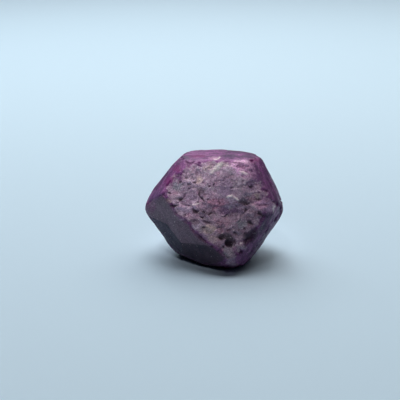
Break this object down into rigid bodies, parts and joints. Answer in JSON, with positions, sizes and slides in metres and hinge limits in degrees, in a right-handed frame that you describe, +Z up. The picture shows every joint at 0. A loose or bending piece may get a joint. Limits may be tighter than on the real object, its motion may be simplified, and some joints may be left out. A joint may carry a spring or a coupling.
{
  "type": "raw ruby crystal",
  "caption": "Raw opaque ruby crystal: a worn hexagonal crystal with a pitted grey-mauve front face and purple side faces, lying on a flat pyramid face.",
  "frame": {"origin": "middle of the crystal's box, at the level of the face that it lies on", "axes": "+Z up, +X to the right along the widest extent, -Y towards the front face"},
  "size_m": [0.0302, 0.0256, 0.0223],
  "materials": {
    "ruby": "natural uncut crystal: granular grey-mauve skin on the front face, waxy purple and dark violet side faces"
  },
  "bodies": {
    "root": {"ruby_crystal": "ruby"}
  },
  "joints": []
}
